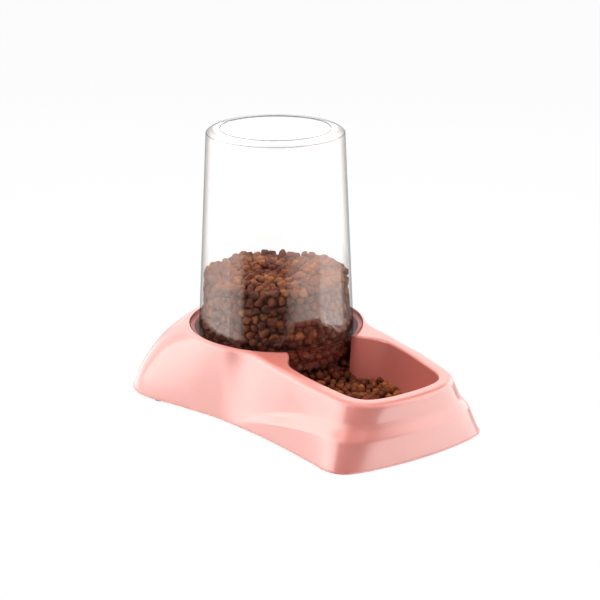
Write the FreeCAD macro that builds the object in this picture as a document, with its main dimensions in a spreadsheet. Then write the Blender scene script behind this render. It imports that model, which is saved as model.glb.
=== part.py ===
"""Gravity pet feeder: a clear jar of kibble stands upside down in a moulded base with a bowl.

Frame: X runs from the jar towards the bowl, Y across, Z up. The origin is on the floor, under
the middle of the base. All sizes are millimetres.
"""

import FreeCAD, Part
import Sketcher
import math
import os
import random

Vector = FreeCAD.Vector
doc = FreeCAD.newDocument("gravity_feeder")

# Driving dimensions, kept in the sheet under these names
SIZES = {
    # Jar
    "flange_radius": 73.0,
    "flange_width": 8.0,
    "flange_thick": 3.0,
    "jar_rise": 163.0,
    "jar_taper": 8.0,
    "shoulder_round": 1.0,
    "jar_wall": 2.0,
    "neck_drop": 21.0,
    "bevel_inset": 3.5,
    "bevel_rise": 2.7,
    "bevel_round": 5.0,
    "crown_inset": 11.4,
    "crown_rise": 3.6,
    "crown_width": 3.4,
    "disc_drop": 0.9,
    "tab_width": 11.0,
    "tab_drop": 2.0,
    "tab_depth": 3.0,
    "tab_inset": 0.5,
    # Seat of the jar in the base
    "seat_clearance": 0.5,
    "seat_ledge": 4.4,
    "seat_rim": 2.2,
    "collar_height": 59.5,
    # Top of the base
    "rim_front_height": 49.5,
    "slope_start": 31.0,
    "slope_bend": 300.0,
    "rim_land": 10.2,
    "rim_round": 5.0,
    # Flare from the top edge down to the foot outline
    "back_flare": 20.8,
    "corner_flare": 46.0,
    "waist_flare": 13.2,
    "side_flare": 16.0,
    "side_rake": 0.35,
    "front_flare": 8.8,
    "dome_back": 80.0,
    "dome_front": 70.0,
    # Stepped skirt of the front lobe
    "ledge_high": 33.0,
    "ledge_low": 24.0,
    "step_depth": 3.2,
    "step_share_above": 0.4,
    "step_start": 50.0,
    "step_deep": 112.0,
    "step_full": 170.0,
    # Bowl and chute
    "wall": 2.5,
    "mouth_half_width": 33.8,
    "mouth_set_back": 1.5,
    "mouth_round": 2.2,
    "bowl_half_width": 49.5,
    "bowl_front": 173.6,
    "bowl_floor": 9.0,
    "bowl_draft": 6.5,
    "bowl_round": 8.0,
    "chute_high": 33.0,
    "chute_end": 34.0,
    # Bottom bead and feet
    "bead_out": 0.35,
    "bead_tall": 1.2,
    "foot_radius": 6.0,
    "foot_tall": 3.0,
    "foot_show": 1.5,
    "foot_inset": 0.9,
    "foot_fit": 0.2,
    "foot_round": 0.5,
    "foot_back": 34.0,
    "foot_front": 160.0,
    # Kibble
    "kibble_size": 8.0,
    "fill_rise": 44.0,
    "fill_gap": 0.3,
    "heap_inset": 4.5,
    "heap_spill": 1.15,
    "heap_level": 25.5,
    "heap_brink": 113.0,
    "heap_fall": 0.72,
    "heap_skew": 0.22,
    "fill_crest": 2.0,
    "lump_pitch": 9.5,
    "lump_height": 2.7,
}

# How far cutting shapes reach past what they cut
SPARE = 10.0

# Margins for telling edges apart: those that touch, and those that are near
TOUCH = 0.01
NEAR = 1.0

# Share of a facet by which the corners of the food's surface are shifted, and its seeds
LUMP_SHIFT = 0.25
BOWL_SEED = 3
JAR_SEED = 5

# Share of the bell's bulge that follows a square root; the rest follows a parabola
BELL_SHARE = 0.6

sheet = doc.addObject("Spreadsheet::Sheet", "sizes")
for row, (alias, value) in enumerate(SIZES.items(), start=1):
    sheet.set(f"A{row}", alias)
    sheet.set(f"B{row}", str(value))
    sheet.setAlias(f"B{row}", alias)
doc.recompute()


def size(alias):
    """One driving dimension, read from the sheet."""
    return float(sheet.get(alias))


# Shape of the base: half outlines, from the back round one side to the front

# Points on the collar circle: angle from the front, and the flare as a share of corner_flare
COLLAR_STATIONS = [(158, 0.57), (139, 0.87), (127.5, 1.0), (119, 0.95), (111, 0.76), (99.5, 0.46)]

# Points of the bowl's edge: share of its length past the mouth, share of its half width, then
# the flare outside it, along and across, as shares of front_flare and side_flare
BOWL_STATIONS = [
    (0.290, 1.000, 0.65, 0.99),
    (0.426, 0.996, 0.67, 0.98),
    (0.579, 0.968, 0.80, 1.06),
    (0.724, 0.927, 0.98, 1.20),
    (0.832, 0.889, 0.97, 1.35),
    (0.908, 0.812, 1.08, 1.38),
    (0.955, 0.687, 1.02, 1.09),
    (0.984, 0.485, 0.97, 0.56),
    (0.997, 0.242, 0.99, 0.24),
    (1.000, 0.000, 1.00, 0.00),
]

# Points of the bowl's edge between the mouth and its widest place
THROAT_STATIONS = [(0.000, 0.000), (0.065, 0.275), (0.127, 0.640), (0.200, 0.920)]

# Points behind the mouth, where the bore cuts the bowl's space open: shares of the mouth's
# distance and of its half width
BACK_STATIONS = [(0.62, 0.00), (0.68, 0.58), (0.83, 0.87)]

# Points of the waist: angles on the collar circle, then shares of the collar's radius along,
# distance outside the bowl's rim, and the flare as a share of side_flare
WAIST_ANGLES = (84.5, 67.0)
WAIST_STATIONS = [(0.56, 3.1, 1.08), (0.79, 0.6, 1.11), (1.02, 0.9, 0.99)]


def smooth(value, start, end):
    """Rises from 0 to 1 between start and end, flat at both."""
    share = min(max((value - start) / (end - start), 0.0), 1.0)
    return share * share * (3.0 - 2.0 * share)


def normals(points):
    """Outward unit normals of a half outline that meets its mirror image at both ends."""
    first = (points[1][0], -points[1][1])
    last = (points[-2][0], -points[-2][1])
    ring = [first] + points + [last]
    result = []
    for before, after in zip(ring, ring[2:]):
        along = after[0] - before[0]
        across = after[1] - before[1]
        length = math.hypot(along, across)
        result.append((-across / length, along / length))
    return result


def moved(points, distance):
    """The half outline with each point moved outwards."""
    return [
        (x + distance * nx, y + distance * ny)
        for (x, y), (nx, ny) in zip(points, normals(points))
    ]


def collar_radius():
    """Outside of the collar, which carries the seat of the flange."""
    return size("flange_radius") + size("seat_clearance") + size("seat_rim")


def bore_radius():
    """Bore below the seat."""
    return size("flange_radius") + size("seat_clearance") - size("seat_ledge")


def mouth_x():
    """Where the mouth's sides leave the collar."""
    radius = size("flange_radius")
    return math.sqrt(radius ** 2 - size("mouth_half_width") ** 2) - size("mouth_set_back")


def bowl_point(along, across):
    start = mouth_x()
    return start + along * (size("bowl_front") - start), across * size("bowl_half_width")


def bowl_outline():
    """Half outline of the bowl's edge; it closes inside the bore, behind the mouth."""
    mouth = size("mouth_half_width")
    widening = size("bowl_half_width") - mouth
    start = mouth_x()
    length = size("bowl_front") - start
    points = [(along * start, across * mouth) for along, across in BACK_STATIONS]
    points += [(start + along * length, mouth + share * widening) for along, share in THROAT_STATIONS]
    points += [bowl_point(along, across) for along, across, _, _ in BOWL_STATIONS]
    return points


def rim_outline():
    """Outer edge of the bowl's rim beside the BOWL_STATIONS."""
    outer = moved(bowl_outline(), size("rim_land"))
    return outer[-len(BOWL_STATIONS):]


def half_outlines():
    """Top edge and foot outline of the base, point by point beside each other."""
    radius = collar_radius()
    side = size("bowl_half_width") + size("rim_land")
    top = [(-radius, 0.0)]
    foot = [(-radius - size("back_flare"), 0.0)]
    for angle, share in COLLAR_STATIONS:
        ux = math.cos(math.radians(angle))
        uy = math.sin(math.radians(angle))
        reach = radius + share * size("corner_flare")
        top.append((radius * ux, radius * uy))
        foot.append((reach * ux, reach * uy))
    for angle in WAIST_ANGLES:
        ux = math.cos(math.radians(angle))
        uy = math.sin(math.radians(angle))
        reach = radius + size("waist_flare")
        top.append((radius * ux, radius * uy))
        foot.append((reach * ux, reach * uy))
    for along, beside, share in WAIST_STATIONS:
        flare = share * size("side_flare")
        top.append((along * radius, side + beside))
        foot.append((along * radius + size("side_rake") * flare, side + beside + flare))
    for (x, y), (_, _, along, across) in zip(rim_outline(), BOWL_STATIONS):
        top.append((x, y))
        foot.append((x + along * size("front_flare"), y + across * size("side_flare")))
    return top, foot


def top_height(x):
    """Height of the base's top: level at the collar, falling towards the front."""
    start = size("slope_start")
    front = size("bowl_front") + size("rim_land")
    fall = size("collar_height") - size("rim_front_height")
    return size("collar_height") - fall * max(0.0, (x - start) / (front - start))


def dome(depth, bulge):
    """Share of the flare reached at a relative depth below the top: straight, or bulging as a bell."""
    bell = BELL_SHARE * math.sqrt(depth) + (1.0 - BELL_SHARE) * depth * (2.0 - depth)
    return (1.0 - bulge) * depth + bulge * bell


class Station:
    """One upright profile of the wall, from the top edge to the foot outline."""

    EDGE_LOW = 4.0
    EDGE_HIGH = 7.0
    ROUND_HIGH = 0.26
    ROUND_LOW = 0.13
    LEVELS = (0.1, 0.35, 0.66, 1.0)

    def __init__(self, top, foot, drop, bottom):
        self.top = top
        self.foot = foot
        self.flare = math.hypot(foot[0] - top[0], foot[1] - top[1])
        self.height = top_height(top[0]) - drop
        self.bottom = bottom
        span = size("step_full") - size("step_start")
        climb = min(max((foot[0] - size("step_start")) / span, 0.0), 1.0)
        rise = math.sin(0.5 * math.pi * climb)
        self.high = self.EDGE_HIGH + (size("ledge_high") - self.EDGE_HIGH) * rise
        self.low = self.EDGE_LOW + (size("ledge_low") - self.EDGE_LOW) * rise
        self.round_high = self.ROUND_HIGH * (self.high - self.low)
        self.round_low = self.ROUND_LOW * (self.high - self.low)
        self.step = size("step_depth") * smooth(foot[0], size("step_start"), size("step_deep"))
        self.bulge = 1.0 - smooth(foot[0], -size("dome_back"), size("dome_front"))

    def wall(self, z):
        """Distance of the wall outside the top edge at height z."""
        base = size("foot_show")
        depth = min(max(1.0 - (z - base) / (self.height - base), 0.0), 1.0)
        out = dome(depth, self.bulge) * self.flare
        inward = -size("step_share_above") * self.step
        if z >= self.high:
            return out + inward * (self.height - z) / (self.height - self.high)
        if z >= self.low:
            return out + inward + self.step * (self.high - z) / (self.high - self.low)
        return out + (self.step + inward) * (z - base) / (self.low - base)

    def point(self, z):
        share = self.wall(z) / self.flare
        x = self.top[0] + share * (self.foot[0] - self.top[0])
        y = self.top[1] + share * (self.foot[1] - self.top[1])
        return x, y, z

    def rounding(self, z, reach):
        """Points from above to below the edge at height z, with its corner taken off."""
        above = self.point(z + reach)
        on = self.point(z)
        below = self.point(z - reach)
        middle = tuple(0.25 * a + 0.5 * b + 0.25 * c for a, b, c in zip(above, on, below))
        return [above, middle, below]

    def bands(self, ceiling):
        """Point rows of the faces, from the top down."""
        over = (self.top[0], self.top[1], self.height + NEAR)
        high = self.rounding(self.high, self.round_high)
        low = self.rounding(self.low, self.round_low)
        upper = self.height - high[0][2]
        return [
            [(self.top[0], self.top[1], ceiling), over],
            [over] + [self.point(self.height - share * upper) for share in self.LEVELS],
            high,
            [high[-1], low[0]],
            low,
            [low[-1], (self.foot[0], self.foot[1], self.bottom)],
        ]


def shared_parameters(rows):
    """Curve parameters worked out from the top edge and the foot, so that all rows line up."""
    marks = [0.0]
    for here, there in zip(rows, rows[1:]):
        upper = math.dist(here[0][0], there[0][0])
        lower = math.dist(here[-1][-1], there[-1][-1])
        marks.append(marks[-1] + 0.5 * (upper + lower))
    return marks


def closed_curve(points, parameters):
    """Smooth closed curve through a half outline and its mirror image."""
    other = [(x, -y, z) for x, y, z in reversed(points[1:-1])]
    ring = [Vector(*point) for point in points + other]
    whole = parameters[-1]
    back = [2.0 * whole - mark for mark in reversed(parameters[:-1])]
    curve = Part.BSplineCurve()
    curve.interpolate(Points=ring, PeriodicFlag=True, Parameters=parameters + back)
    quarter = parameters[len(points) // 2]
    cuts = [0.0, quarter, whole, 2.0 * whole - quarter, 2.0 * whole]
    return Part.Wire([curve.toShape(start, end) for start, end in zip(cuts, cuts[1:])])


def level_curve(half, z):
    """Closed curve through a half outline at one height."""
    marks = [0.0]
    for here, there in zip(half, half[1:]):
        marks.append(marks[-1] + math.dist(here, there))
    return closed_curve([(x, y, z) for x, y in half], marks)


def flared_body(inset, drop, bottom):
    """Closed body with the base's outer wall, or the same wall moved inwards and down."""
    ceiling = size("collar_height") + SPARE
    top, foot = half_outlines()
    top = moved(top, -inset)
    foot = moved(foot, -inset)
    rows = [Station(t, f, drop, bottom).bands(ceiling) for t, f in zip(top, foot)]
    parameters = shared_parameters(rows)
    faces = []
    for band in range(len(rows[0])):
        count = len(rows[0][band])
        wires = [closed_curve([row[band][level] for row in rows], parameters) for level in range(count)]
        faces += Part.makeLoft(wires, False, count == 2).Faces
        if band == 0:
            faces.append(Part.Face(wires[0]))
    faces.append(Part.Face(wires[-1]))
    shell = Part.makeShell(faces)
    shell.sewShape()
    return Part.makeSolid(shell)


def above_top(drop):
    """Everything above the base's top surface: level, a gentle bend, then the fall."""
    front = size("bowl_front") + size("rim_land")
    run = front - size("slope_start")
    fall = size("collar_height") - size("rim_front_height")
    angle = math.atan(fall / run)
    bend = size("slope_bend")
    tangent = bend * math.tan(0.5 * angle)
    level = size("collar_height") - drop
    start = size("slope_start")
    reach = 2.0 * front
    high = level + reach
    bend_in = Vector(start - tangent, -reach, level)
    bend_out = Vector(start + tangent * math.cos(angle), -reach, level - tangent * math.sin(angle))
    middle = Vector(
        bend_in.x + bend * math.sin(0.5 * angle), -reach, level - bend * (1.0 - math.cos(0.5 * angle))
    )
    far = Vector(start + reach * math.cos(angle), -reach, level - reach * math.sin(angle))
    corners = [far, Vector(far.x, -reach, high), Vector(-reach, -reach, high), Vector(-reach, -reach, level)]
    edges = [Part.LineSegment(corners[-1], bend_in).toShape()]
    edges.append(Part.Arc(bend_in, middle, bend_out).toShape())
    edges.append(Part.LineSegment(bend_out, far).toShape())
    edges += [Part.LineSegment(a, b).toShape() for a, b in zip(corners, corners[1:])]
    return Part.Face(Part.Wire(edges)).extrude(Vector(0, 2.0 * reach, 0))


def top_rim_edges(shape):
    """Edges round the outside of the top surface."""
    lowest = size("rim_front_height") - NEAR
    found = []
    for edge in shape.Edges:
        box = edge.BoundBox
        crosses_middle = box.YMin < -NEAR and box.YMax > NEAR and box.XLength < NEAR
        if box.ZMin > lowest and box.YLength > NEAR and not crosses_middle:
            found.append(edge)
    return found


def mouth_edges(shape, tool):
    """Edges that the bowl's space has cut into the top surface."""
    lowest = size("rim_front_height") - NEAR
    found = []
    for edge in shape.Edges:
        if edge.BoundBox.ZMin > lowest:
            middle = edge.valueAt(0.5 * (edge.FirstParameter + edge.LastParameter))
            if tool.Shells[0].distToShape(Part.Vertex(middle))[0] < TOUCH:
                found.append(edge)
    return found


def outer_wall():
    """Outer wall, closed below, with the bowl sunk into its top and both edges rounded."""
    body = flared_body(0.0, 0.0, size("foot_show"))
    body = body.cut(above_top(0.0))
    body = body.makeFillet(size("rim_round"), top_rim_edges(body))
    bowl = bowl_space(0.0, size("bowl_floor"))
    body = body.cut(bowl)
    body = body.makeFillet(size("mouth_round"), mouth_edges(body, bowl))
    _, foot = half_outlines()
    bead = closed_prism(moved(foot, size("bead_out")), size("foot_show"), size("bead_tall"))
    return body.fuse(bead)


def inner_wall():
    """Inside of the outer wall; it runs on below the bottom edge."""
    wall = size("wall")
    body = flared_body(wall, wall, -size("foot_tall"))
    return body.cut(above_top(wall))


def closed_prism(half, bottom, tall):
    return Part.Face(level_curve(half, bottom)).extrude(Vector(0, 0, tall))


def bowl_space(grow, floor):
    """Inside of the bowl, with tapered walls and a rounded bottom edge."""
    reference = 0.5 * (size("collar_height") + size("rim_front_height"))
    taper = math.tan(math.radians(size("bowl_draft")))
    ceiling = size("collar_height") + SPARE
    wires = []
    for z in (floor, ceiling):
        half = moved(bowl_outline(), grow + taper * (z - reference))
        wires.append(level_curve(half, z))
    body = Part.makeLoft(wires, True, True)
    low = [edge for edge in body.Edges if edge.BoundBox.ZMax < floor + NEAR]
    return body.makeFillet(size("bowl_round") + grow, low)


def chute_space(grow, floor_drop):
    """Bore below the seat, down to the chute's sloping floor."""
    radius = bore_radius() + grow
    high = size("chute_high") - floor_drop
    low = size("bowl_floor") - floor_drop
    ceiling = size("collar_height") + SPARE
    reach = 2.0 * radius
    slope = (high - low) / (bore_radius() + size("chute_end"))
    back = high + slope * (reach - bore_radius())
    profile = [
        Vector(-reach, -reach, back),
        Vector(size("chute_end"), -reach, low),
        Vector(reach, -reach, low),
        Vector(reach, -reach, ceiling),
        Vector(-reach, -reach, ceiling),
    ]
    over_floor = Part.Face(Part.makePolygon(profile + profile[:1])).extrude(Vector(0, 2.0 * reach, 0))
    return Part.makeCylinder(radius, ceiling, Vector(0, 0, 0)).common(over_floor)


def seat_space(grow):
    """Counterbore that the flange sits in."""
    depth = size("collar_height") - size("flange_thick")
    radius = size("flange_radius") + size("seat_clearance") + grow
    return Part.makeCylinder(radius, 2.0 * SPARE, Vector(0, 0, depth - grow))


def jar_space(grow):
    """Space below and around the jar's foot."""
    return chute_space(grow, grow).fuse(seat_space(grow))


def food_space(grow):
    """All of the space that holds the jar and the food."""
    return bowl_space(grow, size("bowl_floor") - grow).fuse(jar_space(grow))


def foot_places():
    """Name and centre of each foot, set in from the foot outline."""
    _, foot = half_outlines()
    places = []
    for end, x in (("rear", -size("foot_back")), ("front", size("foot_front"))):
        for (x1, y1), (x2, y2) in zip(foot, foot[1:]):
            if x1 <= x < x2:
                edge = y1 + (y2 - y1) * (x - x1) / (x2 - x1)
        y = edge - size("foot_inset") - size("foot_radius")
        places += [(f"foot_{end}_left", x, y), (f"foot_{end}_right", x, -y)]
    return places


def foot_boss(x, y, grow):
    """Round boss in the base above a foot, or the socket in it."""
    radius = size("foot_radius") + size("foot_fit") + grow
    top = size("foot_tall") + grow
    return Part.makeCylinder(radius, top + size("foot_tall"), Vector(x, y, -size("foot_tall")))


def feature(name, shape):
    made = doc.addObject("Part::Feature", name)
    made.Shape = shape
    return made


def cut(name, base, tool):
    made = doc.addObject("Part::Cut", name)
    made.Base = base
    made.Tool = tool
    return made


def make_base():
    """Moulded shell: the outer wall less its inside, less the food space and the foot sockets."""
    outer = feature("outer_wall", outer_wall())
    inside = feature("inner_wall", inner_wall())
    food_walls = feature("food_walls", food_space(size("wall")))
    jar = feature("jar_space", jar_space(0.0))
    places = foot_places()
    bosses = feature("foot_bosses", Part.makeCompound([foot_boss(x, y, size("wall")) for _, x, y in places]))
    sockets = feature("foot_sockets", Part.makeCompound([foot_boss(x, y, 0.0) for _, x, y in places]))
    hollow = cut("hollow", inside, food_walls)
    hollow_round_bosses = cut("hollow_round_bosses", hollow, bosses)
    shell = cut("shell", outer, hollow_round_bosses)
    open_shell = cut("open_shell", shell, jar)
    base = cut("base_shell", open_shell, sockets)
    base.Label = "base"
    return base


class Bound:
    """A value worked out from the sheet, with the expression that keeps it tied to the sheet."""

    def __init__(self, value, text):
        self.value = value
        self.text = text

    def joined(self, other, sign, value):
        return Bound(value, f"({self.text} {sign} {other.text})")

    def __add__(self, other):
        return self.joined(other, "+", self.value + other.value)

    def __sub__(self, other):
        return self.joined(other, "-", self.value - other.value)

    def __mul__(self, other):
        return self.joined(other, "*", self.value * other.value)

    def __truediv__(self, other):
        return self.joined(other, "/", self.value / other.value)


def bound(alias):
    return Bound(size(alias), f"sizes.{alias}")


ZERO = Bound(0.0, "0")


def plane_of(body, role):
    for origin_feature in body.Origin.OriginFeatures:
        if origin_feature.Role == role:
            return origin_feature
    raise ValueError(role)


def new_sketch(body, name, role):
    sketch = body.newObject("Sketcher::SketchObject", name)
    sketch.AttachmentSupport = [(plane_of(body, role), "")]
    sketch.MapMode = "FlatFace"
    return sketch


def tie(sketch, name, kind, *where):
    """Adds a named distance to the sketch and returns the path of its value."""
    *spots, measure = where
    index = sketch.addConstraint(Sketcher.Constraint(kind, *spots, abs(measure.value)))
    sketch.renameConstraint(index, name)
    sketch.setExpression(f"Constraints.{name}", measure.text)


def draw_polygon(sketch, corners):
    """Closed polygon whose corners (radius, height) stay tied to the sheet."""
    count = len(corners)
    spots = [Vector(radius.value, height.value, 0) for radius, height in corners]
    for start, end in zip(spots, spots[1:] + spots[:1]):
        sketch.addGeometry(Part.LineSegment(start, end))
    for index in range(count):
        sketch.addConstraint(Sketcher.Constraint("Coincident", index, 2, (index + 1) % count, 1))
    for index, (radius, height) in enumerate(corners):
        if radius is ZERO:
            sketch.addConstraint(Sketcher.Constraint("PointOnObject", index, 1, -2))
        else:
            tie(sketch, f"radius_{index}", "DistanceX", -1, 1, index, 1, radius)
        tie(sketch, f"height_{index}", "DistanceY", -1, 1, index, 1, height)


def jar_foot_radius():
    """Outside of the jar's wall where it meets the flange."""
    return bound("flange_radius") - bound("flange_width")


def wall_radius(z):
    """Outside of the jar's tapered wall at a height."""
    draft = bound("jar_taper") / bound("jar_rise")
    return jar_foot_radius() - draft * (z - bound("collar_height"))


def jar_corners():
    """Section of the jar: radius and height of each corner."""
    flange_top = bound("collar_height")
    flange_bottom = flange_top - bound("flange_thick")
    shoulder = flange_top + bound("jar_rise")
    neck = flange_top - bound("neck_drop")
    bevel = wall_radius(shoulder) - bound("bevel_inset")
    crown = wall_radius(shoulder) - bound("crown_inset")
    thick = bound("jar_wall")
    crown_top = shoulder + bound("crown_rise")
    disc_top = crown_top - bound("disc_drop")
    roof = disc_top - thick
    return [
        (wall_radius(neck), neck),
        (wall_radius(flange_bottom), flange_bottom),
        (bound("flange_radius"), flange_bottom),
        (bound("flange_radius"), flange_top),
        (wall_radius(flange_top), flange_top),
        (wall_radius(shoulder), shoulder),
        (bevel, shoulder + bound("bevel_rise")),
        (crown + bound("crown_width"), crown_top),
        (crown, crown_top),
        (crown, disc_top),
        (ZERO, disc_top),
        (ZERO, roof),
        (bevel - thick, roof),
        (wall_radius(shoulder - thick) - thick, shoulder - thick),
        (wall_radius(neck) - thick, neck),
    ]


def circle_edges(shape, radius, height):
    """Names of the round edges of this radius at this height."""
    found = []
    for index, edge in enumerate(shape.Edges, start=1):
        box = edge.BoundBox
        level = abs(box.ZMin - height) < TOUCH and box.ZLength < TOUCH
        if level and abs(0.5 * box.YLength - radius) < TOUCH:
            found.append(f"Edge{index}")
    return found


def make_jar():
    """Clear jar, closed at the top and open below, with its seating flange."""
    body = doc.addObject("PartDesign::Body", "jar")
    sketch = new_sketch(body, "jar_section", "XZ_Plane")
    corners = jar_corners()
    draw_polygon(sketch, corners)
    turned = body.newObject("PartDesign::Revolution", "jar_turned")
    turned.Profile = sketch
    turned.ReferenceAxis = (sketch, ["V_Axis"])
    turned.Angle = 360.0
    doc.recompute()
    shape = turned
    roundings = (
        ("bevel_rounding", corners[6], "sizes.bevel_round"),
        ("shoulder_rounding", corners[5], "sizes.shoulder_round"),
        ("inner_shoulder_rounding", corners[13], "sizes.shoulder_round"),
    )
    for name, (radius, height), expression in roundings:
        rounded = body.newObject("PartDesign::Fillet", name)
        rounded.Base = (shape, circle_edges(shape.Shape, radius.value, height.value))
        rounded.setExpression("Radius", expression)
        doc.recompute()
        shape = rounded
    body.Tip = shape
    return body


def make_reservoir():
    """The jar with the index tab that points through the mouth."""
    jar = make_jar()
    tab = doc.addObject("Part::Box", "index_tab")
    tab.setExpression("Length", "sizes.tab_depth")
    tab.setExpression("Width", "sizes.tab_width")
    tab.setExpression("Height", "sizes.tab_drop + sizes.flange_thick / 2")
    tab.setExpression("Placement.Base.x", "sizes.flange_radius - sizes.tab_depth - sizes.tab_inset")
    tab.setExpression("Placement.Base.y", "-sizes.tab_width / 2")
    tab.setExpression(
        "Placement.Base.z", "sizes.collar_height - sizes.flange_thick - sizes.tab_drop"
    )
    reservoir = doc.addObject("Part::MultiFuse", "jar_with_tab")
    reservoir.Shapes = [jar, tab]
    reservoir.Label = "reservoir"
    return reservoir


def make_foot(name, x, y):
    """Round rubber foot, rounded where it meets the floor."""
    body = doc.addObject("PartDesign::Body", name)
    sketch = new_sketch(body, f"{name}_outline", "XY_Plane")
    sketch.addGeometry(Part.Circle(Vector(0, 0, 0), Vector(0, 0, 1), size("foot_radius")))
    sketch.addConstraint(Sketcher.Constraint("Coincident", 0, 3, -1, 1))
    tie(sketch, "foot_radius", "Radius", 0, bound("foot_radius"))
    pad = body.newObject("PartDesign::Pad", f"{name}_pad")
    pad.Profile = sketch
    pad.setExpression("Length", "sizes.foot_tall")
    doc.recompute()
    rounded = body.newObject("PartDesign::Fillet", f"{name}_rounding")
    rounded.Base = (pad, circle_edges(pad.Shape, size("foot_radius"), 0.0))
    rounded.setExpression("Radius", "sizes.foot_round")
    body.Tip = rounded
    body.Placement.Base = Vector(x, y, 0)
    body.Label = name
    return body


def uneven_solid(height_at, low, high, seed):
    """Everything under an uneven surface of flat facets, over a rectangle on the floor."""
    rng = random.Random(seed)
    pitch = size("lump_pitch")
    columns = round((high[0] - low[0]) / pitch)
    rows = round((high[1] - low[1]) / pitch)
    shift = LUMP_SHIFT * pitch
    grid = []
    for column in range(columns + 1):
        line = []
        for row in range(rows + 1):
            x = low[0] + (high[0] - low[0]) * column / columns
            y = low[1] + (high[1] - low[1]) * row / rows
            if 0 < column < columns and 0 < row < rows:
                x += rng.uniform(-shift, shift)
                y += rng.uniform(-shift, shift)
            level, share = height_at(x, y)
            line.append(Vector(x, y, level + share * size("lump_height") * rng.uniform(-1.0, 1.0)))
        grid.append(line)
    outlines = []
    for column in range(columns):
        for row in range(rows):
            a, b = grid[column][row], grid[column + 1][row]
            c, d = grid[column + 1][row + 1], grid[column][row + 1]
            outlines += [(a, b, c), (a, c, d)] if (column + row) % 2 else [(a, b, d), (b, c, d)]
    corners = [Vector(low[0], low[1], 0), Vector(high[0], low[1], 0)]
    corners += [Vector(high[0], high[1], 0), Vector(low[0], high[1], 0)]
    sides = [
        [line[0] for line in grid],
        grid[-1],
        [line[-1] for line in reversed(grid)],
        list(reversed(grid[0])),
    ]
    outlines.append(corners)
    for side, start, end in zip(sides, corners, corners[1:] + corners[:1]):
        outlines.append([start] + side + [end])
    faces = [Part.Face(Part.makePolygon(list(outline) + [outline[0]])) for outline in outlines]
    shell = Part.makeShell(faces)
    shell.sewShape()
    return Part.makeSolid(shell)


def neck_level():
    """Height at which the food below the jar meets the food in it."""
    return size("collar_height") - size("neck_drop") - size("fill_gap")


def heap_height(x, y):
    """Food surface in the bowl: flat under the jar, steep past its neck, then falling to the front."""
    radius = math.hypot(x, y)
    foot = jar_foot_radius().value
    spill = neck_level() - size("heap_spill") * (radius - foot + size("heap_inset"))
    brink = size("heap_brink") - size("heap_skew") * y
    bed = size("heap_level") - size("heap_fall") * max(0.0, x - brink)
    share = smooth(radius, foot, foot + size("lump_pitch"))
    return max(min(neck_level(), spill), bed, size("foot_show")), share


def fill_height(x, y):
    """Food surface in the jar, a little higher half way out."""
    radius = math.hypot(x, y)
    crest = size("fill_crest") * smooth(radius, 0.0, 0.5 * jar_foot_radius().value)
    return size("collar_height") + size("fill_rise") + crest, 1.0


def make_bowl_kibble():
    """Food on the chute and in the bowl."""
    gap = size("fill_gap")
    space = feature("food_bed", food_space(-gap))
    side = max(size("bowl_half_width"), bore_radius()) + size("lump_pitch")
    surface = uneven_solid(heap_height, (-side, -side), (size("bowl_front"), side), BOWL_SEED)
    limit = feature("food_surface", surface)
    kibble = doc.addObject("Part::Common", "bowl_heap")
    kibble.Base = space
    kibble.Tool = limit
    kibble.Label = "kibble_in_bowl"
    return kibble


def make_jar_kibble():
    """Food in the jar, from the neck up to the fill level."""
    body = doc.addObject("PartDesign::Body", "jar_fill")
    sketch = new_sketch(body, "jar_fill_section", "XZ_Plane")
    flange_top = bound("collar_height")
    neck = flange_top - bound("neck_drop")
    level = flange_top + bound("fill_rise") + bound("kibble_size")
    gap = bound("fill_gap")
    inward = bound("jar_wall") + gap
    corners = [
        (ZERO, neck - gap),
        (wall_radius(neck) - inward, neck - gap),
        (wall_radius(level) - inward, level),
        (ZERO, level),
    ]
    draw_polygon(sketch, corners)
    turned = body.newObject("PartDesign::Revolution", "jar_fill_turned")
    turned.Profile = sketch
    turned.ReferenceAxis = (sketch, ["V_Axis"])
    turned.Angle = 360.0
    side = jar_foot_radius().value + size("lump_pitch")
    kibble = doc.addObject("Part::Common", "jar_heap")
    kibble.Base = body
    kibble.Tool = feature("fill_surface", uneven_solid(fill_height, (-side, -side), (side, side), JAR_SEED))
    kibble.Label = "kibble_in_reservoir"
    return kibble


def middle_of_base(base):
    """Middle of the base on the floor, which becomes the origin."""
    box = base.Shape.BoundBox
    return 0.5 * (box.XMin + box.XMax)


def main():
    parts = [make_base(), make_reservoir(), make_bowl_kibble(), make_jar_kibble()]
    parts += [make_foot(name, x, y) for name, x, y in foot_places()]
    doc.recompute()
    shift = Vector(-middle_of_base(parts[0]), 0, 0)
    for part in parts:
        part.Placement.Base = part.Placement.Base + shift
    doc.recompute()
    for item in doc.Objects:
        if "Invalid" in item.State or "Error" in item.State:
            raise RuntimeError(f"{item.Label} failed")
    for part in parts:
        if part.Shape.isNull() or not part.Shape.isValid() or len(part.Shape.Solids) != 1:
            raise RuntimeError(f"{part.Label} has no valid shape")
    os.makedirs("parts", exist_ok=True)
    for part in parts:
        part.Shape.exportStep(f"parts/{part.Label}.step")
        print(part.Label, round(part.Shape.Volume / 1000.0, 1), "cm3")


main()
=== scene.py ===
import math

import bmesh
import bpy
import numpy as np
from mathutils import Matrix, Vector
from mathutils.bvhtree import BVHTree
from mathutils.kdtree import KDTree


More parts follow.
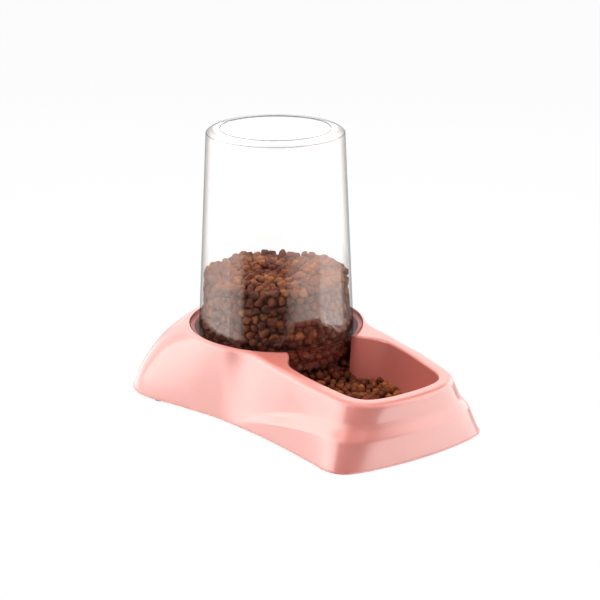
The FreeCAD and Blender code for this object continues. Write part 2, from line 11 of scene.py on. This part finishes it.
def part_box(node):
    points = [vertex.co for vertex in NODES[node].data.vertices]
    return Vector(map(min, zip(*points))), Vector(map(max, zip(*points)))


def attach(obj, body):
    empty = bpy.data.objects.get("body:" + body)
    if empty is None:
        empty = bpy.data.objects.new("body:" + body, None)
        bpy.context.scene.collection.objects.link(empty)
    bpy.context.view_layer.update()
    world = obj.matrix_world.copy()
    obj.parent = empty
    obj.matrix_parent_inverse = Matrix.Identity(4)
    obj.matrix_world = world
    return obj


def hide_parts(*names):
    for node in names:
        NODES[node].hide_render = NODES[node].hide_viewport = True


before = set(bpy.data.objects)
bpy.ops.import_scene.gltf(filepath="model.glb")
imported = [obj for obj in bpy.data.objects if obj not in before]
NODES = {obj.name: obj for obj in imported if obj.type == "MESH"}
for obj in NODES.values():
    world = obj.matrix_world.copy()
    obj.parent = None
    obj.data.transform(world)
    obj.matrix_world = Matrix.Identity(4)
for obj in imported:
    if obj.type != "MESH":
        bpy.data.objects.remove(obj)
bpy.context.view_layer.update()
JAR_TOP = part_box("reservoir")[1].z

# Camera, fitted to the photograph's view
CAMERA_PLACE = (1.07884, -0.80884, 0.54196)
CAMERA_PITCH = math.radians(18.506)
CAMERA_TURN = math.radians(53.494)
CAMERA_LENS = 104.32
CAMERA_SENSOR = 36.0

# Colours, as linear light
WHITE = (1.0, 1.0, 1.0)
PINK = (0.620, 0.186, 0.152)
PINK_DEEP = (0.602, 0.174, 0.140)
RUBBER = (0.035, 0.034, 0.036)
RUBBER_DUST = (0.075, 0.072, 0.072)
FLOOR_WHITE = (0.93, 0.93, 0.93)

# Kibble's browns, from the darkest piece to the palest, and the painted shade of its pits and painted
# light on its rises, which follow its bumps
BROWNS = [
    (0.0, (0.074, 0.015, 0.005)),
    (0.35, (0.115, 0.025, 0.007)),
    (0.65, (0.153, 0.037, 0.010)),
    (0.88, (0.208, 0.059, 0.015)),
    (1.0, (0.290, 0.099, 0.025)),
]
PIT_SHADE_AND_RISE_LIGHT = [(0.3, (0.62, 0.58, 0.55)), (0.7, (1.12, 1.08, 1.05))]

# Clear plastic: the share of a thin wall beside refracting glass, and what that wall mirrors, face
# on and edge on, with the colour of what it mirrors and the power by which it changes between them
WALL_SHARE = 0.97
WALL_GLOSS = (0.042, 0.02)
WALL_GLOSS_COLOUR = (1.0, 0.84, 0.76)
SCHLICK_POWER = 5.0

# Painted shade: greys that the jar's outer face lets through, from face on to edge on, darkening its
# outline
OUTLINE_SHADES = [(0.0, 1.0), (0.50, 0.995), (0.60, 0.900), (0.692, 0.760), (0.797, 0.660), (1.0, 0.560)]

# Painted shade at a sharp edge: greys by how well the surface agrees with one rounded to this radius
EDGE_RADIUS = 0.0018
EDGE_SHADES = [(0.80, 0.30), (0.996, 1.0)]

# The jar's upright axis. A face is on the jar's outer side where its distance from that axis,
# times how much it looks away from it, is over this limit.
JAR_AXIS_X = -0.0475
OUTER_LIMIT = 0.01

# The flange: where it starts, as a distance from the axis, and the painted shade, a greyish purple,
# that darkens what shows through it
FLANGE_START = 0.0655
FLANGE_SHADE = (0.80, 0.70, 0.71)

# The line round the jar's shoulder: how far below the jar's top, half its width and the painted shade
# that it lets through, a dark line where the shoulder turns
SHOULDER_DROP = 0.0034
SHOULDER_HEIGHT = JAR_TOP - SHOULDER_DROP
SHOULDER_LINE = 0.0004
SHOULDER_SHADE = (0.55, 0.55, 0.55)

# Light from the world: where it lights, where it is mirrored above and below the horizon, the
# heights between which it changes there, and where it is seen
WORLD_FILL = 0.32
WORLD_ABOVE = 0.3
WORLD_BELOW = 0.05
HORIZON = (-0.05, 0.10)
WORLD_SEEN = 1.0

# Floor: its side and how near to white it shows
FLOOR_SIDE = 30.0
FLOOR_GLOW = 0.96

# Panels: name, the two turns in degrees from the camera's side, the two heights, the shares of the
# width over which it fades at its start and its end, and the glow.
# Those below the floor show in what is upright, as a white table top would.
PANEL_DISTANCE = 1.25
PANEL_COLOUR = (1.0, 0.95, 0.92)
MIRRORED_PANELS = [
    ("panel_rear_left", (-150.0, -104.0), (0.0, 1.0), (0.15, 0.15), 1.6),
    ("panel_left", (-112.0, -40.0), (0.0, 1.0), (0.12, 0.42), 3.6),
    ("panel_high_left", (-150.0, -25.0), (1.0, 2.2), (0.10, 0.30), 1.6),
    ("panel_right", (40.0, 112.0), (0.0, 1.0), (0.50, 0.12), 2.8),
    ("panel_high_right", (10.0, 108.0), (1.0, 2.2), (0.50, 0.12), 1.6),
    ("panel_low_left", (-158.0, -46.0), (-1.0, 0.0), (0.10, 0.20), 2.1),
    ("panel_low_right", (10.0, 128.0), (-1.0, 0.0), (0.45, 0.10), 2.7),
    ("panel_behind", (145.0, 215.0), (0.0, 1.7), (0.15, 0.15), 1.2),
    ("panel_rear_right", (105.0, 150.0), (0.0, 1.0), (0.15, 0.15), 2.6),
    ("panel_low_behind", (125.0, 205.0), (-1.0, 0.0), (0.15, 0.15), 0.9),
]
LIGHTING_PANELS = [
    ("light_left", (-155.0, -95.0), (0.7, 1.8), (0.15, 0.15), 0.5),
    ("light_right", (50.0, 110.0), (0.6, 1.4), (0.15, 0.15), 0.4),
    ("light_behind", (140.0, 205.0), (0.7, 1.8), (0.15, 0.15), 2.2),
]
TOP_PLACE = (0.02, -0.10, 0.90)
TOP_SIZE = 0.5
TOP_GLOW = 13.5

# Kibble: the size of a piece, the seed of all that is random, and the depths, in pieces, to which
# the heaps have finely made pieces and any pieces at all
KIBBLE = 0.0074
SEED = 11
FINE_DEPTH = 0.62
KEPT_DEPTH = 2.3

# Heaps. The floor's margin is how far a centre stays above the heap's floor, in radii of a piece.
HEAPS = [
    {
        "node": "kibble_in_reservoir",
        "piece": "kibble_pieces_in_jar",
        "floor_margin": 0.1,
        "in_jar": True,
    },
    {
        "node": "kibble_in_bowl",
        "piece": "kibble_pieces_in_bowl",
        "floor_margin": 0.95,
        "in_jar": False,
    },
]

# How far a centre stays inside its heap elsewhere, in radii of a piece. A face counts as top or
# floor where its outward direction rises or falls by more than this.
TOP_MARGIN = 1.40
WALL_MARGIN = 0.95
LEVEL_RISE = 0.6

# The lattice that the heaps start from, in pieces: from row to row, from layer to layer, the shift
# of each second layer, and how far each point is shaken
ROW_STEP = 0.866
LAYER_STEP = 0.816
LAYER_SHIFT = 0.29
SHAKE = 0.3

# Rounds of pushing apart, the share of an overlap that a push takes off, and the longest push,
# in pieces
ROUNDS = 40
PUSH_SHARE = 0.35
LONGEST_PUSH = 0.3

# The form of a piece of kibble: its own size, as a share of KIBBLE, the number of its sides, how
# far they stray from even turns and lean, how far its two caps lean, how far from the centre sides
# and caps lie and how near and far its surface may come, in its own size, and how sharp its edges
# are. Fine and coarse pieces have so many faces along each side of a cube.
PIECE_SIZES = (0.46, 0.60)
SIDE_COUNTS = (3, 5)
SIDE_STRAY = 0.18
SIDE_LEAN = 0.25
CAP_LEAN = 0.3
SIDE_DISTANCES = (0.64, 0.84)
CAP_DISTANCES = (0.62, 0.86)
PIECE_REACHES = (0.5, 1.28)
EDGE_POWERS = (12.0, 24.0)
FINE_STEPS = 4
COARSE_STEPS = 2

# Where the jar's wall presses the kibble, about 0.3 mm inside its inner face: a height, the
# distance from the axis there, and by how much it narrows for each metre above
PRESS_HEIGHT = 0.0596
PRESS_REACH = 0.0627
PRESS_TAPER = 0.0493

# Directions and lengths of the search for what is inside: a slanting line, which no edge of the
# heaps follows, the step past a face, and what counts as no distance
SLANT = Vector((0.31, 0.17, 0.935)).normalized()
UP = Vector((0.0, 0.0, 1.0))
STEP_PAST = 1e-6
NO_DISTANCE = 1e-9

# A colour mix's sockets, by number, because its sockets for other kinds have the same names
MIX_SHARE = 0
MIX_FIRST = 6
MIX_SECOND = 7
MIX_RESULT = 2


def feed(tree, node, sockets):
    """Gives a node's sockets a plain value, or a link to what another node gives."""
    for key, value in sockets.items():
        if isinstance(value, bpy.types.NodeSocket):
            tree.links.new(value, node.inputs[key])
        else:
            node.inputs[key].default_value = value


def add(tree, kind, sockets, **properties):
    """A new node, with its properties set and its sockets fed."""
    node = tree.nodes.new(kind)
    for key, value in properties.items():
        setattr(node, key, value)
    feed(tree, node, sockets)
    return node


def new_material(name):
    """A material with a Principled shader, its node tree and that shader."""
    material = bpy.data.materials.new(name)
    material.use_nodes = True
    tree = material.node_tree
    return material, tree, tree.nodes["Principled BSDF"]


def show(tree, shader):
    """Makes the shader the material's surface."""
    tree.links.new(shader, tree.nodes["Material Output"].inputs["Surface"])


def object_place(tree):
    """The place on the object, in metres."""
    return add(tree, "ShaderNodeTexCoord", {}).outputs["Object"]


def noise(tree, place, scale, detail, roughness=0.5):
    """A noise from 0 to 1, with so many features a metre."""
    sockets = {"Vector": place, "Scale": scale, "Detail": detail, "Roughness": roughness}
    return add(tree, "ShaderNodeTexNoise", sockets).outputs["Fac"]


def ramp(tree, source, stops):
    """The source's colour on a ramp whose stops are a number and a colour each."""
    node = add(tree, "ShaderNodeValToRGB", {"Fac": source})
    elements = node.color_ramp.elements
    while len(elements) < len(stops):
        elements.new(1.0)
    for element, (place, colour) in zip(elements, stops):
        element.position = place
        element.color = (*colour, 1.0)
    return node.outputs["Color"]


def grey_stops(stops):
    """Stops of a number and a grey each, as stops of a ramp."""
    return [(place, (grey, grey, grey)) for place, grey in stops]


def in_range(tree, source, start=0.0, end=1.0, low=0.0, high=1.0, **properties):
    """The source's numbers from start to end, as numbers from low to high."""
    sockets = {"Value": source, "From Min": start, "From Max": end, "To Min": low, "To Max": high}
    return add(tree, "ShaderNodeMapRange", sockets, **properties).outputs["Result"]


def bump(tree, height, distance, strength, under=None):
    """The normal of a surface that the height raises by up to a distance, over another normal."""
    node = add(tree, "ShaderNodeBump", {"Height": height, "Distance": distance, "Strength": strength})
    if under is not None:
        feed(tree, node, {"Normal": under})
    return node.outputs["Normal"]


def times(tree, first, second):
    """Two colours multiplied."""
    sockets = {MIX_SHARE: 1.0, MIX_FIRST: first, MIX_SECOND: second}
    node = add(tree, "ShaderNodeMix", sockets, data_type="RGBA", blend_type="MULTIPLY")
    return node.outputs[MIX_RESULT]


def tinted(tree, where, colour):
    """White, with the colour where the number is one."""
    sockets = {MIX_SHARE: where, MIX_FIRST: (*WHITE, 1.0), MIX_SECOND: (*colour, 1.0)}
    return add(tree, "ShaderNodeMix", sockets, data_type="RGBA").outputs[MIX_RESULT]


def calculated(tree, operation, *values):
    """The result of a sum on up to three numbers."""
    return add(tree, "ShaderNodeMath", dict(enumerate(values)), operation=operation).outputs[0]


def vectors(tree, operation, *values):
    """A node that works on up to three vectors."""
    return add(tree, "ShaderNodeVectorMath", dict(enumerate(values)), operation=operation)


def mixed(tree, share, first, second):
    """The first shader, with the share of the second."""
    return add(tree, "ShaderNodeMixShader", {0: share, 1: first, 2: second}).outputs[0]


def pink_plastic():
    """Moulded polypropylene: soft gloss, a little colour drift and a fine grain."""
    material, tree, shader = new_material("pink_plastic_moulded")
    place = object_place(tree)
    drift = noise(tree, place, scale=9.0, detail=2.0)
    haze = noise(tree, place, scale=60.0, detail=4.0)
    grain = noise(tree, place, scale=1500.0, detail=2.0)
    wave = noise(tree, place, scale=40.0, detail=1.0)
    fine = bump(tree, grain, distance=0.00002, strength=0.5)
    feed(tree, shader, {
        "Base Color": ramp(tree, drift, [(0.3, PINK_DEEP), (0.7, PINK)]),
        "Roughness": in_range(tree, haze, low=0.34, high=0.46),
        "Normal": bump(tree, wave, distance=0.0002, strength=0.25, under=fine),
        "IOR": 1.49,
        "Specular IOR Level": 0.9,
        "Coat Weight": 1.0,
        "Coat IOR": 1.75,
        "Coat Roughness": 0.17,
        "Subsurface Weight": 0.06,
        "Subsurface Radius": (0.006, 0.003, 0.0025),
        "Subsurface Scale": 1.0,
    })
    return material


def painted_edge_shade(tree, normal):
    """Painted shade: a grey that is darkest where the surface turns sharply."""
    rounded = add(tree, "ShaderNodeBevel", {"Radius": EDGE_RADIUS}, samples=6).outputs[0]
    agreement = vectors(tree, "DOT_PRODUCT", rounded, normal).outputs["Value"]
    return ramp(tree, agreement, grey_stops(EDGE_SHADES))


def outer_face(tree, geometry, arm):
    """One on the jar's outer side, nought on its inner side and where it is level.

    The normal that a node reads always faces the viewer, so it is turned back where that is the
    back of the face.
    """
    side = in_range(tree, geometry.outputs["Backfacing"], low=1.0, high=-1.0)
    outward = vectors(tree, "DOT_PRODUCT", arm, geometry.outputs["Normal"]).outputs["Value"]
    return calculated(tree, "GREATER_THAN", calculated(tree, "MULTIPLY", outward, side), OUTER_LIMIT)


def painted_wall_shade(tree, place, facing):
    """What the thin wall lets through, darkened by painted shade towards its outline, at its edges,
    in its flange and along its shoulder.
    """
    geometry = add(tree, "ShaderNodeNewGeometry", {})
    level = (1.0, 1.0, 0.0)
    arm = vectors(tree, "MULTIPLY_ADD", place, level, (-JAR_AXIS_X, 0.0, 0.0)).outputs[0]
    is_outer = outer_face(tree, geometry, arm)
    outline = calculated(tree, "MULTIPLY", facing, is_outer)
    reach = vectors(tree, "LENGTH", arm).outputs["Value"]
    in_flange = calculated(tree, "GREATER_THAN", reach, FLANGE_START)
    height = add(tree, "ShaderNodeSeparateXYZ", {0: place}).outputs["Z"]
    at_shoulder = calculated(tree, "COMPARE", height, SHOULDER_HEIGHT, SHOULDER_LINE)
    on_line = calculated(tree, "MULTIPLY", at_shoulder, is_outer)
    # Painted shade towards the outline, then at sharp edges, in the flange and along the shoulder
    colour = ramp(tree, outline, grey_stops(OUTLINE_SHADES))
    colour = times(tree, colour, painted_edge_shade(tree, geometry.outputs["Normal"]))
    colour = times(tree, colour, tinted(tree, in_flange, FLANGE_SHADE))
    return times(tree, colour, tinted(tree, on_line, SHOULDER_SHADE))


def clear_plastic():
    """Clear styrene: a thin wall that light passes straight through, and a little refracting glass.

    The thin wall greys towards its outline with painted shade, and mirrors a little on both faces.
    """
    material, tree, glass = new_material("clear_plastic_moulded")
    place = object_place(tree)
    rub = noise(tree, place, scale=120.0, detail=6.0, roughness=0.65)
    wave = noise(tree, place, scale=22.0, detail=1.0)
    haze = in_range(tree, rub, low=0.0, high=0.035)
    normal = bump(tree, wave, distance=0.0002, strength=0.12)
    feed(tree, glass, {
        "Base Color": (0.985, 0.99, 0.99, 1.0),
        "Transmission Weight": 1.0,
        "IOR": 1.5,
        "Roughness": haze,
        "Normal": normal,
    })
    facing = add(tree, "ShaderNodeLayerWeight", {"Blend": 0.5}).outputs["Facing"]
    through = add(tree, "ShaderNodeBsdfTransparent", {"Color": painted_wall_shade(tree, place, facing)})
    gloss = in_range(tree, calculated(tree, "POWER", facing, SCHLICK_POWER), 0.0, 1.0, *WALL_GLOSS)
    warm = vectors(tree, "SCALE", WALL_GLOSS_COLOUR)
    feed(tree, warm, {"Scale": gloss})
    sockets = {"Color": warm.outputs[0], "Roughness": haze, "Normal": normal}
    mirror = add(tree, "ShaderNodeBsdfGlossy", sockets)
    wall = add(tree, "ShaderNodeAddShader", {0: through.outputs[0], 1: mirror.outputs[0]})
    show(tree, mixed(tree, WALL_SHARE, glass.outputs[0], wall.outputs[0]))
    return material


def dark_rubber():
    """Soft rubber of a foot: dark and dull, with a dusty surface."""
    material, tree, shader = new_material("dark_rubber_soft")
    dust = noise(tree, object_place(tree), scale=400.0, detail=5.0, roughness=0.7)
    feed(tree, shader, {
        "Base Color": ramp(tree, dust, [(0.35, RUBBER), (0.75, RUBBER_DUST)]),
        "Roughness": in_range(tree, dust, low=0.62, high=0.85),
        "Normal": bump(tree, dust, distance=0.0001, strength=0.4),
    })
    return material


def dry_food():
    """Baked kibble: each piece has its own brown, with painted shade in its pits and painted light on
    its rises, rough and slightly oily.
    """
    material, tree, shader = new_material("dry_food_baked")
    place = object_place(tree)
    island = add(tree, "ShaderNodeNewGeometry", {}).outputs["Random Per Island"]
    crumb = noise(tree, place, scale=700.0, detail=6.0, roughness=0.65)
    # The surface's bumps; the colour follows them as painted shade in the pits and painted light on
    # the rises
    pits_and_rises = noise(tree, place, scale=260.0, detail=2.0)
    fine = bump(tree, crumb, distance=0.0004, strength=0.6)
    feed(tree, shader, {
        "Base Color": times(tree, ramp(tree, island, BROWNS), ramp(tree, pits_and_rises, PIT_SHADE_AND_RISE_LIGHT)),
        "Roughness": in_range(tree, crumb, low=0.5, high=0.8),
        "Normal": bump(tree, pits_and_rises, distance=0.0006, strength=0.5, under=fine),
        "Specular IOR Level": 0.25,
    })
    return material


def give(piece, material):
    """Puts the material in all the piece's slots, or in a first one."""
    slots = piece.data.materials
    if not slots:
        slots.append(material)
    for index in range(len(slots)):
        slots[index] = material


def surface_tree(node):
    """A search tree over a CAD node's faces."""
    corners = [tuple(corner.co) for corner in node.data.vertices]
    faces = [tuple(face.vertices) for face in node.data.polygons]
    return BVHTree.FromPolygons(corners, faces, all_triangles=False)


def is_inside(tree, point):
    """True where a slanting line from the point leaves the surface once more than it enters."""
    crossings = 0
    start = point
    while True:
        hit = tree.ray_cast(start, SLANT)[0]
        if hit is None:
            return crossings % 2 == 1
        crossings += 1
        start = hit + SLANT * STEP_PAST


def depth_in(tree, point):
    """How deep the point lies below the surface, minus outside, and the outward direction there."""
    nearest, normal, _, distance = tree.find_nearest(point)
    if distance < NO_DISTANCE:
        return 0.0, normal
    away = (point - nearest) / distance
    if is_inside(tree, point):
        return distance, -away
    return -distance, away


def margin(outward, floor_margin):
    """How far from the surface a centre stays, which depends on where the surface faces."""
    radius = KIBBLE / 2
    if outward.z > LEVEL_RISE:
        return TOP_MARGIN * radius
    if outward.z < -LEVEL_RISE:
        return floor_margin * radius
    return WALL_MARGIN * radius


def start_points(name, tree, rng):
    """Shaken points of a close lattice inside a node."""
    low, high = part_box(name)
    points = []
    layer = 0
    z = low.z + KIBBLE / 2
    while z < high.z:
        row = 0
        y = low.y + (layer % 2) * KIBBLE * LAYER_SHIFT
        while y < high.y:
            x = low.x + ((row + layer) % 2) * KIBBLE / 2
            while x < high.x:
                point = Vector((x, y, z)) + Vector(rng.uniform(-SHAKE, SHAKE, 3) * KIBBLE)
                if depth_in(tree, point)[0] > 0.0:
                    points.append(point)
                x += KIBBLE
            y += KIBBLE * ROW_STEP
            row += 1
        z += KIBBLE * LAYER_STEP
        layer += 1
    return points


def neighbour_tree(points):
    """A search tree over the centres."""
    search = KDTree(len(points))
    for index, point in enumerate(points):
        search.insert(point, index)
    search.balance()
    return search


def push_at(point, index, search):
    """The push that the overlaps with its neighbours give a centre."""
    push = Vector((0.0, 0.0, 0.0))
    for other, number, distance in search.find_range(point, KIBBLE):
        if number != index and distance > NO_DISTANCE:
            push += (point - other) / distance * (KIBBLE - distance) * PUSH_SHARE
    if push.length > KIBBLE * LONGEST_PUSH:
        push = push.normalized() * KIBBLE * LONGEST_PUSH
    return push


def held_inside(place, tree, floor_margin):
    """The place, moved inwards where it is too near to its heap's surface."""
    depth, outward = depth_in(tree, place)
    wanted = margin(outward, floor_margin)
    if depth < wanted:
        return place - outward * (wanted - depth)
    return place


def packed_points(trees, rounds):
    """Centres of the kibble in all heaps, pushed apart until they hardly overlap, and their heaps."""
    rng = np.random.default_rng(SEED)
    points, owners = [], []
    for number, tree in enumerate(trees):
        found = start_points(HEAPS[number]["node"], tree, rng)
        points += found
        owners += [number] * len(found)
    for _ in range(rounds):
        search = neighbour_tree(points)
        moved = []
        for index, (point, owner) in enumerate(zip(points, owners)):
            place = point + push_at(point, index, search)
            moved.append(held_inside(place, trees[owner], HEAPS[owner]["floor_margin"]))
        points = moved
    return points, owners


def chunk_grid(steps):
    """Directions and faces of a cube with so many steps a side, as on a ball."""
    made = bmesh.new()
    bmesh.ops.create_cube(made, size=2.0)
    bmesh.ops.subdivide_edges(made, edges=made.edges[:], cuts=steps - 1, use_grid_fill=True)
    made.verts.ensure_lookup_table()
    directions = np.array([corner.co.normalized() for corner in made.verts])
    faces = np.array([[corner.index for corner in face.verts] for face in made.faces])
    made.free()
    return directions, faces


def random_turn(rng):
    """A random rotation as a matrix."""
    axes, _ = np.linalg.qr(rng.normal(size=(3, 3)))
    return axes


def chunk(directions, rng):
    """A short prism with a few uneven sides and worn edges: where each direction meets it.

    Along a direction each plane is at its own distance. A high power makes the nearest one count
    and rounds the change from one to the next.
    """
    count = rng.integers(*SIDE_COUNTS, endpoint=True)
    strays = rng.uniform(-SIDE_STRAY, SIDE_STRAY, count)
    turns = 2.0 * np.pi * (np.arange(count) + strays) / count
    lean = rng.uniform(-SIDE_LEAN, SIDE_LEAN, count)
    sides = np.stack([np.cos(turns), np.sin(turns), lean], axis=1)
    caps = np.array([[0.0, 0.0, 1.0], [0.0, 0.0, -1.0]]) + rng.uniform(-CAP_LEAN, CAP_LEAN, (2, 3))
    normals = np.vstack([sides, caps])
    normals /= np.linalg.norm(normals, axis=1)[:, None]
    distances = np.concatenate([rng.uniform(*SIDE_DISTANCES, count), rng.uniform(*CAP_DISTANCES, 2)])
    normals = normals @ random_turn(rng)
    nearness = np.clip(directions @ normals.T, 0.0, None) / distances
    power = rng.uniform(*EDGE_POWERS)
    radius = np.sum(nearness ** power, axis=1) ** (-1.0 / power)
    radius = np.clip(radius, *PIECE_REACHES)
    size = rng.uniform(*PIECE_SIZES) * KIBBLE
    return directions * radius[:, None] * size


def pressed(corners):
    """The corners, with those that would go through the jar's wall pulled back inside it."""
    reach = np.hypot(corners[:, 0] - JAR_AXIS_X, corners[:, 1])
    widest = PRESS_REACH - PRESS_TAPER * (corners[:, 2] - PRESS_HEIGHT)
    share = np.minimum(1.0, widest / reach)
    x = JAR_AXIS_X + (corners[:, 0] - JAR_AXIS_X) * share
    return np.stack([x, corners[:, 1] * share, corners[:, 2]], axis=1)


def heap_mesh(name, centres, grids, rng, in_jar):
    """One mesh of kibble pieces, from pairs of a centre and whether its piece is finely made."""
    corners, faces, count = [], [], 0
    for centre, fine in centres:
        directions, quads = grids[fine]
        lump = chunk(directions, rng) + np.array(centre)
        corners.append(lump)
        faces.append(quads + count)
        count += len(lump)
    places = np.vstack(corners)
    if in_jar:
        places = pressed(places)
    mesh = bpy.data.meshes.new(name)
    mesh.from_pydata(places.tolist(), [], np.vstack(faces).tolist())
    mesh.polygons.foreach_set("use_smooth", [True] * len(mesh.polygons))
    mesh.update()
    return mesh


def depth_from_view(tree, point, in_jar):
    """How deep a piece lies below the heap's top or, in the clear jar, below any side of it."""
    above = tree.ray_cast(point, UP)[3]
    if above is None:
        above = 0.0
    if in_jar:
        return min(depth_in(tree, point)[0], above)
    return above


def make_kibble(material):
    """The heaps as loose pieces. Those deep inside, which nothing shows, are left out."""
    trees = [surface_tree(NODES[values["node"]]) for values in HEAPS]
    points, owners = packed_points(trees, ROUNDS)
    grids = {True: chunk_grid(FINE_STEPS), False: chunk_grid(COARSE_STEPS)}
    kept = [[] for _ in HEAPS]
    for point, owner in zip(points, owners):
        depth = depth_from_view(trees[owner], point, HEAPS[owner]["in_jar"])
        if depth < KEPT_DEPTH * KIBBLE:
            kept[owner].append((point, depth < FINE_DEPTH * KIBBLE))
    for number, values in enumerate(HEAPS):
        rng = np.random.default_rng(SEED + number)
        mesh = heap_mesh(values["piece"], kept[number], grids, rng, values["in_jar"])
        piece = bpy.data.objects.new(values["piece"], mesh)
        bpy.context.scene.collection.objects.link(piece)
        give(piece, material)
        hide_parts(values["node"])
        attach(piece, "root")


def make_floor():
    """A pale floor that shows as white and keeps the object's soft shadow."""
    bpy.ops.mesh.primitive_plane_add(size=FLOOR_SIDE, location=(0.0, 0.0, 0.0))
    floor = bpy.context.object
    floor.name = "floor"
    floor.visible_glossy = False
    material, tree, shader = new_material("floor_white")
    feed(tree, shader, {
        "Base Color": (*FLOOR_WHITE, 1.0),
        "Roughness": 0.9,
        "Specular IOR Level": 0.0,
    })
    white = add(tree, "ShaderNodeEmission", {"Strength": 1.0}).outputs[0]
    path = add(tree, "ShaderNodeLightPath", {})
    share = calculated(tree, "MULTIPLY", path.outputs["Is Camera Ray"], FLOOR_GLOW)
    seen = calculated(tree, "MAXIMUM", share, path.outputs["Is Transmission Ray"])
    show(tree, mixed(tree, seen, shader.outputs[0], white))
    give(floor, material)


def make_world():
    """White where it is seen, dark below the horizon in reflections, and a plain fill light."""
    world = bpy.data.worlds.new("studio")
    bpy.context.scene.world = world
    world.use_nodes = True
    tree = world.node_tree
    tree.nodes.clear()

    def sky(strength):
        sockets = {"Color": (*WHITE, 1.0), "Strength": strength}
        return add(tree, "ShaderNodeBackground", sockets).outputs[0]

    path = add(tree, "ShaderNodeLightPath", {})
    direct = (path.outputs["Is Camera Ray"], path.outputs["Is Transmission Ray"])
    direction = add(tree, "ShaderNodeTexCoord", {}).outputs["Generated"]
    height = add(tree, "ShaderNodeSeparateXYZ", {0: direction}).outputs["Z"]
    mirrored = mixed(tree, in_range(tree, height, *HORIZON), sky(WORLD_BELOW), sky(WORLD_ABOVE))
    unseen = mixed(tree, path.outputs["Is Glossy Ray"], sky(WORLD_FILL), mirrored)
    shown = mixed(tree, calculated(tree, "MAXIMUM", *direct), unseen, sky(WORLD_SEEN))
    add(tree, "ShaderNodeOutputWorld", {"Surface": shown})


def placed_lamp(name, lamp, place):
    """Puts a lamp in the scene, seen neither by the camera nor through the clear plastic."""
    holder = bpy.data.objects.new(name, lamp)
    bpy.context.scene.collection.objects.link(holder)
    holder.location = place
    holder.visible_camera = False
    holder.visible_transmission = False
    return holder


def soften(lamp, fades):
    """Fades a panel towards its start and its end, over these shares of its width."""
    lamp.use_nodes = True
    tree = lamp.node_tree
    spot = add(tree, "ShaderNodeNewGeometry", {}).outputs["Parametric"]
    along = add(tree, "ShaderNodeSeparateXYZ", {0: spot}).outputs["X"]
    rises = [
        in_range(tree, along, dark, bright, interpolation_type="SMOOTHSTEP")
        for dark, bright in ((0.0, fades[0]), (1.0, 1.0 - fades[1]))
    ]
    feed(tree, tree.nodes["Emission"], {"Strength": calculated(tree, "MULTIPLY", *rises)})


def softbox(name, turns, heights, fades, glow):
    """A soft panel between two compass turns from the camera's side and two heights."""
    start, end = (math.radians(turn) for turn in turns)
    low, high = heights
    lamp = bpy.data.lights.new(name, "AREA")
    lamp.shape = "RECTANGLE"
    lamp.size = 2.0 * PANEL_DISTANCE * math.tan(0.5 * (end - start))
    lamp.size_y = high - low
    lamp.energy = glow * math.pi * lamp.size * lamp.size_y
    soften(lamp, fades)
    away = math.atan2(CAMERA_PLACE[1], CAMERA_PLACE[0]) + 0.5 * (start + end)
    direction = Vector((math.cos(away), math.sin(away), 0.0))
    holder = placed_lamp(name, lamp, direction * PANEL_DISTANCE + UP * 0.5 * (low + high))
    holder.rotation_euler = (-direction).to_track_quat("-Z", "Y").to_euler()
    return holder


def make_lights():
    """White panels that only mirror, with a dark gap round the camera, and lamps that only light."""
    for values in MIRRORED_PANELS:
        panel = softbox(*values)
        panel.data.color = PANEL_COLOUR
        panel.visible_diffuse = False
    for values in LIGHTING_PANELS:
        panel = softbox(*values)
        panel.visible_glossy = False
    lamp = bpy.data.lights.new("light_top", "AREA")
    lamp.size = TOP_SIZE
    lamp.energy = TOP_GLOW * math.pi * TOP_SIZE ** 2
    top = placed_lamp("light_top", lamp, TOP_PLACE)
    top.visible_glossy = False


def make_camera():
    """The photograph's camera, a little above the object and towards its bowl."""
    data = bpy.data.cameras.new("camera")
    data.lens = CAMERA_LENS
    data.sensor_width = CAMERA_SENSOR
    camera = bpy.data.objects.new("camera", data)
    bpy.context.scene.collection.objects.link(camera)
    camera.location = CAMERA_PLACE
    camera.rotation_euler = (math.pi / 2 - CAMERA_PITCH, 0.0, CAMERA_TURN)
    bpy.context.scene.camera = camera


make_camera()
make_world()
make_lights()
make_floor()

give(NODES["base"], pink_plastic())
give(NODES["reservoir"], clear_plastic())
rubber = dark_rubber()
for foot in ("foot_front_left", "foot_front_right", "foot_rear_left", "foot_rear_right"):
    give(NODES[foot], rubber)
make_kibble(dry_food())

bpy.context.scene.view_settings.view_transform = "Standard"
